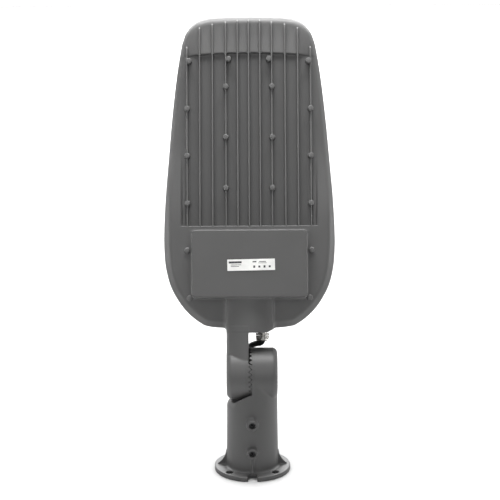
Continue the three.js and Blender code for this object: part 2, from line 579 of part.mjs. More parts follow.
// ---------- parts behind the LED-side covers ----------
const coverY = HEAD.ledY - LENS.thick;
const lensRegion = (margin) => box(-130, 130, 0, 60, HEAD.splitZ + margin, 500);
const coverRegion = (margin) => box(-130, 130, 0, 60, 50, HEAD.splitZ - margin);

const domeRows = 7;
const domeColumns = [-66, -44, -16, 16, 44, 66];
const domePlaces = [];
for (let row = 0; row < domeRows; row++) {
  const z = 222 + row * 33;
  for (const x of domeColumns) domePlaces.push([x * (row > 5 ? 0.92 : 1), z]);
}

const holesFor = (places, r) => union(mirrored(places).map(([x, z]) => rod([x, 0, z], [x, 30, z], r, r, 8)));

let lens = outlineSlab(5.5, coverY, HEAD.ledY).intersect(lensRegion(0.5));
for (const [x, z] of domePlaces) {
  lens = lens.add(turned([[HEAD.ledY - 1, 0], [HEAD.ledY - 1, LENS.domeR], [HEAD.ledY + LENS.domeHeight * 0.6,
    LENS.domeR * 0.75], [HEAD.ledY + LENS.domeHeight, 0]], "y", 8).translate([x, 0, z]));
}
add("lens_panel", lens.subtract(holesFor(LENS_SCREWS, SCREW.r + 0.4)), LENS_PLASTIC, head);

function gasket(region) {
  return outlineSlab(5.8, HEAD.ledY - 3.9, coverY - GAP).intersect(region(1.5))
    .subtract(outlineSlab(9.5, 0, 40).intersect(region(5)));
}
add("lens_gasket", gasket(lensRegion), BLACK_RUBBER, head);
add("cover_gasket", gasket(coverRegion), BLACK_RUBBER, head);
const cover = outlineSlab(5.5, coverY, HEAD.ledY).intersect(coverRegion(0.5));
add("driver_cover", cover.subtract(holesFor(COVER_SCREWS, SCREW.r + 0.4)), PAINT, head);

const boardFace = HEAD.floorY + HEAD.wall + GAP;
let board = outlineSlab(16, boardFace, boardFace + LED_BOARD.thick)
  .intersect(box(-120, 120, 0, 30, LED_BOARD.lowZ, LED_BOARD.highZ))
  .subtract(holesFor(LENS_SCREWS, SCREW.pillarR + 1))
  .subtract(holesFor(BOARD_SCREWS, SCREW.r + 0.3));
const chip = LED_BOARD.chip;
for (const [x, z] of domePlaces) {
  const chipTop = boardFace + LED_BOARD.thick + 0.8;
  board = board.add(box(x - chip, x + chip, boardFace + 1, chipTop, z - chip, z + chip));
}
add("led_board", board, BOARD_WHITE, head);

const driver = box(-62, 62, -30, 2, 118, 184);
add("led_driver", driver, GREY_PLASTIC, head);
add("terminal_block", box(-22, 14, -4, 12, 76, 92), GREY_PLASTIC, head);
add("surge_protector", box(-66, -38, -8, 10, 84, 104), WIRE_BLUE, head);

function lead(points) {
  return tube(points, LEAD.r, 10, 6);
}
const supplyLeads = lead([[GLAND.x, GLAND.y, 70.5], [GLAND.x - 2, 6, 72.5], [10, 7, 73.4], [6, 7, 74.4]]);
add("supply_leads", supplyLeads, WIRE_BLUE, head);
const inputLead = lead([[0, 5, 92.5], [-2, 7, 100], [0, 6, 108], [0, 0, 114], [0, -8, 116.8]]);
add("driver_input_lead", inputLead, BLACK_RUBBER, head);
const outputLead = lead([[0, -4, 185.3], [0, 4, 188.6], [0, LEAD.passageY, 194], [0, 11, 200], [0, 6, 204]]);
add("driver_output_lead", outputLead, BLACK_RUBBER, head);

// ---------- screws, all driven from the LED side ----------
function screw(headY, length) {
  const crown = headY + SCREW.headThick;
  return turned([
    [headY - length, 0], [headY - length, SCREW.r - 0.5], [headY - length + 0.8, SCREW.r], [headY, SCREW.r],
    [headY, SCREW.headR], [crown - 0.7, SCREW.headR], [crown, SCREW.headR - 1.2], [crown, 0],
  ], "y", 8).subtract(rod([0, crown - 1.2, 0], [0, crown + 1, 0], 1.1, 1.1, 6));
}
function addScrews(name, places, headY, length) {
  mirrored(places).forEach(([x, z], i) => {
    const piece = add(name + "_" + (i + 1), screw(headY, length), STEEL, head);
    piece.position.set(x, 0, z);
  });
}
addScrews("lens_screw", LENS_SCREWS, HEAD.ledY + GAP, SCREW.length);
addScrews("board_screw", BOARD_SCREWS, boardFace + LED_BOARD.thick + GAP, SCREW.length - 3);
addScrews("cover_screw", COVER_SCREWS, HEAD.ledY + GAP, SCREW.length);

// The earth screw stands in the driver bay's wall.
const earth = add("earth_screw", screw(HEAD.rearY + HEAD.wall + 2 * GAP, 2.2), STEEL, head);
earth.position.set(EARTH.x, 0, EARTH.z);

// ---------- rating label ----------
const { halfWidth, halfHeight, thick } = LABEL;
const labelBack = BULGE.faceY - GAP;
const plate = box(-halfWidth, halfWidth, labelBack - thick, labelBack, -halfHeight, halfHeight);
const label = add("rating_label", plate, LABEL_WHITE, head);
label.rotation.y = THREE.MathUtils.degToRad(-1); // stuck on slightly askew
label.position.set(LABEL.x, 0, LABEL.z);

export default group;
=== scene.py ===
# Looks for the street luminaire head, on the frame's axes. Solid fields and profiles are in millimetres, and
# everything placed in the scene is in metres.
import math

import bpy
import numpy as np
import openvdb
from mathutils import Matrix, Vector


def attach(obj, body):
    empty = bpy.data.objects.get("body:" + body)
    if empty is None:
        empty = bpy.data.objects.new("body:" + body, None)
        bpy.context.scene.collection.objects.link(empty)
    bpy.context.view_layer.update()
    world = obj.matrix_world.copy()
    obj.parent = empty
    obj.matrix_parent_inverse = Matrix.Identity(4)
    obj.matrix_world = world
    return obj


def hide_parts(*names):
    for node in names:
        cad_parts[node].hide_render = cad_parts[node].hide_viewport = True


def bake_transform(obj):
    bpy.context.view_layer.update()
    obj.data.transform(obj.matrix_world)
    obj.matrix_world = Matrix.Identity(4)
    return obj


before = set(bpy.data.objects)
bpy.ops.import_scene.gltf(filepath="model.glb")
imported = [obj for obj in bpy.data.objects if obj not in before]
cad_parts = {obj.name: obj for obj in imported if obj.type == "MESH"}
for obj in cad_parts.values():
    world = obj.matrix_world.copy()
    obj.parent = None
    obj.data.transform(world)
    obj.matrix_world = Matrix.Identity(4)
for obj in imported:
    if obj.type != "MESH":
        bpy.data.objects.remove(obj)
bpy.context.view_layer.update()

MM = 0.001
TILT = math.radians(16.875)
KNUCKLE_Z = 135.0
KNUCKLE_R = 34.3
HEAD_OFFSET_X = -2.5

# ---------- camera ----------
VIEW_DISTANCE = 2.0
VIEW_ELEVATION = math.radians(13.8)
VIEW_TARGET = Vector((-0.0019, 0.048, 0.2928))
VIEW_ROLL = math.radians(-0.3)
VIEW_LENS = 107.1
camera_data = bpy.data.cameras.new("camera")
camera_data.lens = VIEW_LENS
camera_data.sensor_width = 36
camera = bpy.data.objects.new("camera", camera_data)
bpy.context.scene.collection.objects.link(camera)
back = Vector((0, -math.cos(VIEW_ELEVATION), math.sin(VIEW_ELEVATION)))
camera.location = VIEW_TARGET + back * VIEW_DISTANCE
camera.rotation_mode = "QUATERNION"
roll = Matrix.Rotation(VIEW_ROLL, 4, back)
camera.rotation_quaternion = (roll @ (-back).to_track_quat("-Z", "Y").to_matrix().to_4x4()).to_quaternion()
camera_data.clip_start = 0.1
camera_data.clip_end = 50
bpy.context.scene.camera = camera


# ---------- node helpers ----------
def new_material(name):
    mat = bpy.data.materials.new(name)
    mat.use_nodes = True
    shader = mat.node_tree.nodes["Principled BSDF"]
    return mat, mat.node_tree, shader


def add_node(tree, kind, **inputs):
    node = tree.nodes.new(kind)
    for name, value in inputs.items():
        node.inputs[name.replace("_", " ")].default_value = value
    return node


def noise(tree, scale, detail=2.0, roughness=0.5, coords="Object"):
    where = tree.nodes.new("ShaderNodeTexCoord")
    node = add_node(tree, "ShaderNodeTexNoise", Scale=scale, Detail=detail, Roughness=roughness)
    tree.links.new(where.outputs[coords], node.inputs["Vector"])
    return node.outputs["Fac"]


def ramp(tree, source, stops):
    node = tree.nodes.new("ShaderNodeValToRGB")
    elements = node.color_ramp.elements
    while len(elements) < len(stops):
        elements.new(0.5)
    for element, (at, colour) in zip(elements, stops):
        element.position = at
        element.color = (*colour, 1)
    tree.links.new(source, node.inputs["Fac"])
    return node.outputs["Color"]


def remap(tree, source, low, high, start=0.3, end=0.7):
    """Values from low to high while the source goes from start to end."""
    node = tree.nodes.new("ShaderNodeMapRange")
    node.inputs["From Min"].default_value = start
    node.inputs["From Max"].default_value = end
    node.inputs["To Min"].default_value = low
    node.inputs["To Max"].default_value = high
    tree.links.new(source, node.inputs["Value"])
    return node.outputs["Result"]


def bump(tree, shader, height, strength, distance, under=None):
    node = add_node(tree, "ShaderNodeBump", Strength=strength, Distance=distance)
    tree.links.new(height, node.inputs["Height"])
    if under is not None:
        tree.links.new(under, node.inputs["Normal"])
    tree.links.new(node.outputs["Normal"], shader.inputs["Normal"])
    return node.outputs["Normal"]


def grey(value, warmth=0.0):
    return (value * (1 + warmth), value, value * (1 - warmth))


def grade(tree, coords, low, high, start, end):
    """Values from low to high along the Y of the given coordinates."""
    where = tree.nodes.new("ShaderNodeTexCoord")
    split = tree.nodes.new("ShaderNodeSeparateXYZ")
    tree.links.new(where.outputs[coords], split.inputs["Vector"])
    return remap(tree, split.outputs["Y"], low, high, start, end)


# ---------- materials ----------
# Painted light from pointiness: convex edges are painted lighter as a highlight, and creases and hollows are
# painted darker as shade.
EDGE_HIGHLIGHT_AND_CREASE_SHADE = [(0.44, grey(0.66)), (0.5, grey(0.72)), (0.535, grey(1.0))]


def powder_coat(name, albedo):
    """Fine grey powder coat: a tight orange peel, faint clouding and uneven gloss, with a painted highlight
    on convex edges and painted shade in creases.
    """
    mat, tree, shader = new_material(name)
    cloud = noise(tree, 14, 3)
    clouded = ramp(tree, cloud, [(0.3, grey(albedo * 0.96, 0.006)), (0.7, grey(albedo * 1.04, 0.004))])
    shape = tree.nodes.new("ShaderNodeNewGeometry")
    # Painted highlight on convex edges and painted shade in creases, multiplied into the coat's colour.
    edges = ramp(tree, shape.outputs["Pointiness"], EDGE_HIGHLIGHT_AND_CREASE_SHADE)
    mix = tree.nodes.new("ShaderNodeMix")
    mix.data_type = "RGBA"
    mix.blend_type = "MULTIPLY"
    mix.inputs["Factor"].default_value = 1.0
    tree.links.new(clouded, mix.inputs["A"])
    tree.links.new(edges, mix.inputs["B"])
    tree.links.new(mix.outputs["Result"], shader.inputs["Base Color"])
    grain = noise(tree, 1400, 2)
    tree.links.new(remap(tree, grain, 0.46, 0.56), shader.inputs["Roughness"])
    peel = bump(tree, shader, noise(tree, 420, 2), 0.12, 0.0004)
    bump(tree, shader, grain, 0.22, 0.00018, peel)
    shader.inputs["Specular IOR Level"].default_value = 0.5
    return mat


def metal(name, colour, rough):
    mat, tree, shader = new_material(name)
    shader.inputs["Metallic"].default_value = 1.0
    cloud = noise(tree, 90, 4)
    tint = ramp(tree, cloud, [(0.3, tuple(c * 0.86 for c in colour)), (0.7, colour)])
    tree.links.new(tint, shader.inputs["Base Color"])
    tree.links.new(remap(tree, noise(tree, 260, 3), rough * 0.8, rough * 1.3), shader.inputs["Roughness"])
    bump(tree, shader, noise(tree, 900, 2), 0.08, 0.0001)
    return mat


def matt(name, colour, rough):
    """Rubber, plastic, film and ink: a faint grain and slightly uneven colour."""
    mat, tree, shader = new_material(name)
    tint = ramp(tree, noise(tree, 60, 3), [(0.3, tuple(c * 0.8 for c in colour)), (0.7, colour)])
    tree.links.new(tint, shader.inputs["Base Color"])
    tree.links.new(remap(tree, noise(tree, 500, 2), rough * 0.9, rough * 1.1), shader.inputs["Roughness"])
    bump(tree, shader, noise(tree, 900, 2), 0.15, 0.0001)
    return mat


def clear_plastic(name):
    mat, tree, shader = new_material(name)
    shader.inputs["Base Color"].default_value = (0.96, 0.98, 0.99, 1)
    shader.inputs["Transmission Weight"].default_value = 1.0
    shader.inputs["IOR"].default_value = 1.49
    tree.links.new(remap(tree, noise(tree, 200, 2), 0.03, 0.06), shader.inputs["Roughness"])
    bump(tree, shader, noise(tree, 90, 2), 0.03, 0.0004)
    return mat


PAINT_ALBEDO = 0.103
paint = powder_coat("grey_powder_coat", PAINT_ALBEDO)
# The bracket wears the head's paint made darker: painted shade for the bracket, which sits under the head and
# gets less light than it.
SPIGOT_PAINTED_SHADE = 0.88
spigot_painted_shade_coat = powder_coat("spigot_powder_coat_painted_shade", PAINT_ALBEDO * SPIGOT_PAINTED_SHADE)
zinc = metal("zinc_plate", (0.62, 0.63, 0.64), 0.3)
black_steel = metal("black_oxide_steel", (0.05, 0.05, 0.052), 0.42)
nickel = metal("nickel_plate", (0.82, 0.8, 0.76), 0.26)
black_rubber = matt("black_rubber", (0.02, 0.02, 0.021), 0.62)
cable_sheath = matt("cable_sheath", (0.006, 0.006, 0.0065), 0.6)
grey_plastic = matt("grey_plastic", (0.4, 0.41, 0.42), 0.5)
blue_plastic = matt("blue_plastic", (0.06, 0.14, 0.3), 0.5)
board_white = matt("solder_mask", (0.8, 0.8, 0.77), 0.4)
label_film = matt("label_film", (0.86, 0.86, 0.84), 0.35)
label_ink = matt("label_ink", (0.05, 0.05, 0.055), 0.5)
phosphor = matt("led_phosphor", (0.85, 0.62, 0.12), 0.45)
lens_clear = clear_plastic("clear_lens")


# ---------- solid fields ----------
def smooth_min(a, b, k):
    h = np.maximum(k - np.abs(a - b), 0) / k
    return np.minimum(a, b) - h * h * (k * 0.25)


def smooth_max(a, b, k):
    return -smooth_min(-a, -b, k)


def rounded_max(a, b, r):
    """Both solids at once, with the edge between them rounded to radius r."""
    return np.minimum(np.maximum(a, b), -r) + np.hypot(np.maximum(a + r, 0), np.maximum(b + r, 0))


def smoothstep(value, low, high):
    t = np.clip((value - low) / (high - low), 0, 1)
    return t * t * (3 - 2 * t)


def slab(value, low, high):
    return np.maximum(low - value, value - high)


SLICE = 64  # grid layers worked out at a time
REACH = 0.05  # the step used for a field's slope


def skin(name, field, low, high, step, mat):
    """A mesh over a field's zero level: quads from a grid, with each corner moved onto the exact surface."""
    counts = [int(math.ceil((h - l) / step)) + 1 for l, h in zip(low, high)]
    grids = [l + step * np.arange(n, dtype=np.float32) for l, n in zip(low, counts)]
    values = np.empty(counts, np.float32)
    for first in range(0, counts[2], SLICE):
        layers = grids[2][first:first + SLICE]
        x, y, z = np.meshgrid(grids[0], grids[1], layers, indexing="ij", sparse=True)
        values[:, :, first:first + SLICE] = field(x, y, z)
    grid = openvdb.FloatGrid(background=3 * step)
    grid.copyFromArray(np.clip(values, -3 * step, 3 * step).astype(np.float32))
    points, quads = grid.convertToQuads(isovalue=0.0)
    p = np.asarray(points, np.float64) * step + np.array(low)
    for _ in range(3):
        here = field(p[:, 0], p[:, 1], p[:, 2])
        slope = np.empty_like(p)
        for axis in range(3):
            q = p.copy()
            q[:, axis] += REACH
            slope[:, axis] = (field(q[:, 0], q[:, 1], q[:, 2]) - here) / REACH
        size = np.maximum((slope ** 2).sum(axis=1), 0.25)
        move = np.clip(here / size, -0.4 * step, 0.4 * step)
        p -= slope * move[:, None]
    return mesh_object(name, p * MM, quads[:, ::-1], mat)


def mesh_object(name, points, faces, mat, smooth=True, matrix=None):
    mesh = bpy.data.meshes.new(name)
    if isinstance(faces, np.ndarray):
        faces = faces.tolist()
    mesh.from_pydata(np.asarray(points).tolist(), [], faces)
    mesh.validate()
    if matrix is not None:
        mesh.transform(matrix)
    mesh.materials.append(mat)
    mesh.polygons.foreach_set("use_smooth", [smooth] * len(mesh.polygons))
    mesh.update()
    obj = bpy.data.objects.new(name, mesh)
    bpy.context.scene.collection.objects.link(obj)
    return obj


# From the head's own axes, and from the knuckle's, to the row frame. The head stands a little to the left.
KNUCKLE_MATRIX = Matrix.Translation((0, 0, KNUCKLE_Z * MM)) @ Matrix.Rotation(-TILT, 4, "X")
HEAD_MATRIX = Matrix.Translation((HEAD_OFFSET_X * MM, 0, 0)) @ KNUCKLE_MATRIX

# ---------- head outline ----------
OUTLINE = [
    (0, 483), (30, 482.7), (54.8, 481.0), (72, 475.0), (83.2, 463.4), (88.4, 451.6), (91.8, 438), (98.3, 396),
    (104.3, 341), (108.8, 287), (112.7, 232.5), (114.6, 190), (114.5, 165), (111.8, 138), (103.6, 111),
    (86, 84), (65.2, 66.6), (52, 62), (32, 60.4), (0, 60),
]


def spline(points, per_span):
    """Points on a smooth curve through the given ones."""
    p = np.array([points[0], *points, points[-1]], float)
    out = []
    for i in range(1, len(p) - 2):
        for s in range(per_span):
            t = s / per_span
            a, b, c, d = p[i - 1], p[i], p[i + 1], p[i + 2]
            bend = (2 * a - 5 * b + 4 * c - d) * t ** 2
            twist = (3 * b - a - 3 * c + d) * t ** 3
            out.append(0.5 * (2 * b + (c - a) * t + bend + twist))
    out.append(p[-2])
    return np.array(out)


right_side = spline(OUTLINE, 6)
outline = np.concatenate([right_side, right_side[-2:0:-1] * [-1, 1]])

TABLE_STEP = 0.5
TABLE_LOW = (-130.0, -60.0)
TABLE_COUNTS = (521, 1121)


def outline_table():
    """Distance to the outline on a fine grid, negative inside."""
    xs = TABLE_LOW[0] + TABLE_STEP * np.arange(TABLE_COUNTS[0])
    zs = TABLE_LOW[1] + TABLE_STEP * np.arange(TABLE_COUNTS[1])
    half = xs >= 0
    x, z = np.meshgrid(xs[half], zs, indexing="ij")
    best = np.full(x.shape, 1e9)
    inside = np.zeros(x.shape, bool)
    ends = np.roll(outline, -1, axis=0)
    for (ax, az), (bx, bz) in zip(outline, ends):
        if max(ax, bx) < -1e-9:
            continue
        dx, dz = bx - ax, bz - az
        t = np.clip(((x - ax) * dx + (z - az) * dz) / (dx * dx + dz * dz), 0, 1)
        best = np.minimum(best, (x - ax - t * dx) ** 2 + (z - az - t * dz) ** 2)
    for (ax, az), (bx, bz) in zip(outline, ends):
        if az != bz:
            cross = ((az > z) != (bz > z)) & (x < (bx - ax) * (z - az) / (bz - az) + ax)
            inside ^= cross
    distance = np.where(inside, -np.sqrt(best), np.sqrt(best))
    return np.concatenate([distance[:0:-1], distance], axis=0).astype(np.float32)


OUTLINE_TABLE = outline_table()


def outline_distance(x, z):
    """Distance to the outline read from the table."""
    u = np.clip((x - TABLE_LOW[0]) / TABLE_STEP, 0, TABLE_COUNTS[0] - 1.001)
    v = np.clip((z - TABLE_LOW[1]) / TABLE_STEP, 0, TABLE_COUNTS[1] - 1.001)
    u, v = np.broadcast_arrays(u, v)
    i, j = u.astype(int), v.astype(int)
    f, g = u - i, v - j
    near = OUTLINE_TABLE[i, j] * (1 - f) + OUTLINE_TABLE[i + 1, j] * f
    far = OUTLINE_TABLE[i, j + 1] * (1 - f) + OUTLINE_TABLE[i + 1, j + 1] * f
    return near * (1 - g) + far * g


# ---------- head housing ----------
LED_Y, REAR_Y, FLOOR_Y = 22.0, -12.0, -3.0
REAR_RISE = (205.0, 310.0)  # the rim's rear face rises to the bed's level between these heights
SPLIT_Z = 197.0  # between the driver's end and the LEDs' end
HEAD_WALL = 3.0
STEP_Z, STEP_SAG = 431.0, 3.8
NOSE_CREST_Y, NOSE_TOP_Y, NOSE_TOP_Z = -7.6, -1.0, 476.0
NOSE_FADE = (60.0, 88.0)
NOSE_EDGE_Y = FLOOR_Y + 0.6
LEDGE_INNER, LEDGE_OUTER, LEDGE_LIFT = 80.8, 85.6, 0.62
BED_OUTER = 91.5
BED_WALL_LEAN = 0.25
RIM_CHAMFER = 6.0  # depth under the corner at the lower end, half of it towards the nose
RIM_INNER, SEAT_INNER, SEAT_Y = 11.0, 5.0, 17.8
CROWN_Y, CROWN_R = 27.0, 57.0
NECK_HALF, NECK_LOW, NECK_HIGH = 31.2, 53.8, 106.0
NECK_SLANT, NECK_SLANT_X = math.radians(32), 23.0
BULGE_Y, BULGE_HALF, BULGE_LOW, BULGE_HIGH, BULGE_CORNER = -38.0, 76.0, 100.6, 189.8, 4.0
SIDE_DRAFT, LOW_DRAFT, HIGH_DRAFT = 0.03, 0.04, 0.05
ARM_OUTER, ARM_INNER, ARM_HIGH = -33.8, -4.4, 62.0
EAR_OUTER, EAR_ROUND, HEAD_EAR_INNER = 34.0, 7.5, -6.0
BOLT_HOLE_R, POCKET_R, POCKET_FROM = 5.3, 12.5, 22.0
GLAND_X, GLAND_Y, GLAND_HOLE_R = 16.8, 5.0, 6.3


def rear_depth(z):
    return REAR_Y + (FLOOR_Y - REAR_Y) * smoothstep(z, *REAR_RISE)


def bed_surface(x, z):
    """Depth of the fin bed: level between the outer fins, a ledge outside them, then the rim's strip."""
    across = np.abs(x)
    lift = LEDGE_LIFT * smoothstep(across, LEDGE_INNER, LEDGE_OUTER)
    lift = lift + (1 - LEDGE_LIFT) * smoothstep(across, BED_OUTER - 3.0, BED_OUTER + 1.0)
    return FLOOR_Y + (rear_depth(z) - FLOOR_Y) * lift


def nose_surface(x, z):
    """Depth of the raised nose, which fades out towards both sides."""
    fall = np.clip((z - STEP_Z) / (NOSE_TOP_Z - STEP_Z), 0, 1.2)
    crest = NOSE_CREST_Y + (NOSE_TOP_Y - NOSE_CREST_Y) * fall
    fade = 1 - smoothstep(np.abs(x), *NOSE_FADE)
    return NOSE_EDGE_Y + (crest - NOSE_EDGE_Y) * fade


def step_line(x):
    """Height of the step at the foot of the nose, which sags towards the sides."""
    return STEP_Z - STEP_SAG * (x / 80) ** 2


def round_bar_x(y, z, r):
    return np.hypot(y, z) - r


def rim_field(edge, y, z):
    """The outlined plate: chamfered round its lower end and rounded towards the nose."""
    upper = smoothstep(z, 150, 300)
    rear = rear_depth(z) - y
    body = rounded_max(edge, rear, 3.5 + 7.0 * upper + 1.5 * smoothstep(z, 400, 470))
    chamfer = (edge + rear) * math.sqrt(0.5) + RIM_CHAMFER * (1 - 0.5 * upper)
    body = smooth_max(body, chamfer, 2.0)
    return rounded_max(body, y - LED_Y, 1.5)


def neck_field(x, y, z, crown):
    neck = rounded_max(crown, np.abs(x) - NECK_HALF, 1.0)
    neck = np.maximum(neck, z - NECK_HIGH)
    neck = rounded_max(neck, y - 20.0, 2.0)
    neck = rounded_max(neck, NECK_LOW - z, 2.2)
    slant = (x - NECK_SLANT_X) * math.sin(NECK_SLANT) - (z - NECK_LOW) * math.cos(NECK_SLANT)
    return rounded_max(neck, slant, 2.0)


def bulge_field(x, y, z):
    """The driver's box, with drafted sides and rounded corners."""
    depth = np.clip(y - BULGE_Y, 0, 40)
    half_wide = BULGE_HALF + depth * SIDE_DRAFT
    low, high = BULGE_LOW - depth * LOW_DRAFT, BULGE_HIGH - depth * HIGH_DRAFT
    qx = np.abs(x) - half_wide + BULGE_CORNER
    qz = np.abs(z - (low + high) / 2) - (high - low) / 2 + BULGE_CORNER
    sides = np.hypot(np.maximum(qx, 0), np.maximum(qz, 0)) + np.minimum(np.maximum(qx, qz), 0) - BULGE_CORNER
    return np.maximum(rounded_max(sides, BULGE_Y - y, 1.2), y)


def hollow_field(x, y, z, edge):
    """The bays and the lens seat, all open to the LED side."""
    seat = np.maximum(edge + SEAT_INNER, SEAT_Y - y)
    driver_bay = np.maximum(edge + RIM_INNER, REAR_Y + HEAD_WALL - y)
    driver_bay = np.maximum(driver_bay, slab(z, 70.0, SPLIT_Z - 5.5))
    bulge_bay = np.maximum(np.abs(x) - 73.9, slab(z, 104.3, 186.0))
    bulge_bay = np.maximum(bulge_bay, BULGE_Y + HEAD_WALL - y)
    neck_bay = np.maximum(np.maximum(np.abs(x) - 27.4, slab(y, -14.0, 16.0)), slab(z, 60.3, NECK_HIGH))
    led_bay = np.maximum(np.maximum(edge + RIM_INNER, FLOOR_Y + HEAD_WALL - y), SPLIT_Z + 3.5 - z)
    hollow = np.minimum(np.minimum(driver_bay, bulge_bay), np.minimum(neck_bay, led_bay))
    return np.minimum(hollow, seat)


def head_field(x, y, z):
    edge = outline_distance(x, z)
    across = x + HEAD_OFFSET_X
    crown = np.hypot(x, y - CROWN_Y) - CROWN_R
    body = smooth_min(rim_field(edge, y, z), neck_field(x, y, z, crown), 6.0)
    body = smooth_min(body, bulge_field(x, y, z), 2.2 + 3.0 * smoothstep(z, 185, 190))

    # The fin bed is cut after the bulge, down to the wall below it, and the nose stands at its upper end.
    wall_z = SPLIT_Z - 2.2 + BED_WALL_LEAN * (FLOOR_Y - y)
    body = np.maximum(body, np.minimum(bed_surface(x, z) - y, z - wall_z))
    nose = rounded_max(nose_surface(x, z) - y, step_line(x) - z, 1.6)
    nose = rounded_max(nose, edge + 3.0, 5.0)
    nose = np.maximum(nose, y - 10)
    body = smooth_min(body, nose, 2.0)

    arm = rounded_max(crown, ARM_OUTER - across, 4.0)
    arm = rounded_max(arm, across - ARM_INNER, 0.8)
    arm = rounded_max(arm, y - 18.0, 2.0)
    arm = np.maximum(arm, slab(z, 0.0, ARM_HIGH))
    body = smooth_min(body, arm, 1.2)
    ear = rounded_max(round_bar_x(y, z, KNUCKLE_R), -EAR_OUTER - across, EAR_ROUND)
    ear = rounded_max(ear, across - HEAD_EAR_INNER, 0.8)
    body = smooth_min(body, ear, 0.8)

    body = smooth_max(body, -hollow_field(x, y, z, edge), 0.8)
    hole = np.maximum(round_bar_x(y, z, BOLT_HOLE_R), slab(across, -36.0, 2.0))
    pocket = np.maximum(round_bar_x(y, z, POCKET_R), slab(across, -36.0, -POCKET_FROM))
    body = smooth_max(body, -np.minimum(hole, pocket), 0.9)
    gland_hole = np.maximum(np.hypot(x - GLAND_X, y - GLAND_Y) - GLAND_HOLE_R, slab(z, 50.0, 62.0))
    return np.maximum(body, -gland_hole)


head_step = 0.85
housing = skin("head_casting", head_field, (-117, -41, -37), (117, 25, 485), head_step, paint)
housing.data.transform(HEAD_MATRIX)
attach(housing, "head")
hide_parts("head_housing")


def row_point(x, y, z):
    """A head-frame point in millimetres, in the row frame in metres."""
    return HEAD_MATRIX @ Vector((x * MM, y * MM, z * MM))


# ---------- fins ----------
FIN_CREST_Y, FIN_END_Y, FIN_END_DROP = -12.0, -9.5, 4.0
FOOT_SINK = 0.1  # fillets end this far inside the casting, so that they meet it at a clear angle
FOOT_ROOT = 1.6  # and go on straight down to this depth below their foot
FIN_BASE, FIN_TOP, FIN_FILLET, FIN_ROUND = 1.1, 0.9, 1.1, 0.25
FINS = [(0, 476), (15.1, 476), (31, 474), (48.9, 471), (66.1, 466), (83.2, 440)]


def floor_under(x, z):
    """The casting's surface that a fin or boss stands on."""
    surface = bed_surface if z < step_line(x) else nose_surface
    return float(surface(np.array(x), np.array(z)))


def fin_mesh(x, end_z):
    """One fin: drafted sides, rounded crest, filleted foot, and a crest that curves down at its upper end."""
    step_z = float(step_line(x))
    stations = [195.0, 240.0, 300.0, 360.0, step_z - 3, step_z - 1.2, step_z + 0.4, step_z + 2.4]
    stations += list(np.linspace(step_z + 8, end_z - FIN_END_DROP, 4)) if end_z > step_z + 14 else []
    curve = [end_z - FIN_END_DROP * (1 - math.sin(a)) for a in np.linspace(0.15, math.pi / 2, 7)]
    stations = sorted(s for s in stations if s < end_z - FIN_END_DROP - 0.2) + curve
    rings = []
    for z in stations:
        foot = floor_under(x, z) + FOOT_SINK
        share = min(max((z - 240) / (end_z - 240), 0), 1)
        crest = FIN_CREST_Y + (FIN_END_Y - FIN_CREST_Y) * share
        drop = max(z - (end_z - FIN_END_DROP), 0) / FIN_END_DROP
        crest += FIN_END_DROP * (1 - math.sqrt(max(1 - drop * drop, 0)))
        section = [(FIN_BASE + FIN_FILLET, foot + FOOT_ROOT), (FIN_BASE + FIN_FILLET, foot)]
        for a in (25, 50, 75):
            t = math.radians(a)
            section.append((FIN_BASE + FIN_FILLET * (1 - math.sin(t)), foot - FIN_FILLET * (1 - math.cos(t))))
        section.append((FIN_BASE, foot - FIN_FILLET))
        for a in (0, 45, 90):
            t = math.radians(a)
            section.append((FIN_TOP - FIN_ROUND * (1 - math.cos(t)), crest + FIN_ROUND * (1 - math.sin(t))))
        ring = section + [(-u, v) for u, v in reversed(section)]
        rings.append([(x + u, v, z) for u, v in ring])
    size = len(rings[0])
    faces = []
    for k in range(len(rings) - 1):
        for i in range(size - 1):
            a, b = k * size + i, (k + 1) * size + i
            faces.append((a, b, b + 1, a + 1))
    faces.append(tuple(range((len(rings) - 1) * size, len(rings) * size)))
    return [p for ring in rings for p in ring], faces


def joined(name, parts, mat, matrix, smooth=True):
    """One object from several meshes given in millimetres."""
    points, faces = [], []
    for part_points, part_faces in parts:
        start = len(points)
        points += [tuple(c * MM for c in p) for p in part_points]
        faces += [tuple(start + i for i in face) for face in part_faces]
    return mesh_object(name, points, faces, mat, smooth, matrix)


def by_angle(obj, degrees=35):
    """Smooth shading that keeps edges sharper than this angle."""
    mesh = obj.data
    mesh.polygons.foreach_set("use_smooth", [True] * len(mesh.polygons))
    mesh.set_sharp_from_angle(angle=math.radians(degrees))
    return obj


def mirrored(places):
    """Each place, and its mirror image unless it is on the middle line."""
    return [(s * x, *rest) for x, *rest in places for s in ((1,) if x == 0 else (-1, 1))]


fins = joined("head_fins", [fin_mesh(x, z) for x, z in mirrored(FINS)], paint, HEAD_MATRIX)
by_angle(fins, 50)
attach(fins, "head")


# ---------- turned pieces ----------
def turned(profile, origin, axis, segments=32):
    """A profile of (along, radius) points turned about an axis through origin."""
    axis = Vector(axis).normalized()
    side = axis.orthogonal().normalized()
    up = axis.cross(side)
    points, faces = [], []
    for along, r in profile:
        for k in range(segments):
            a = 2 * math.pi * k / segments
            points.append(tuple(Vector(origin) + axis * along + (side * math.cos(a) + up * math.sin(a)) * r))
    for j in range(len(profile) - 1):
        for k in range(segments):
            n = (k + 1) % segments
            low, high = j * segments, (j + 1) * segments
            faces.append((low + k, low + n, high + n, high + k))
    faces.append(tuple(reversed(range(segments))))
    faces.append(tuple((len(profile) - 1) * segments + k for k in range(segments)))
    return points, faces


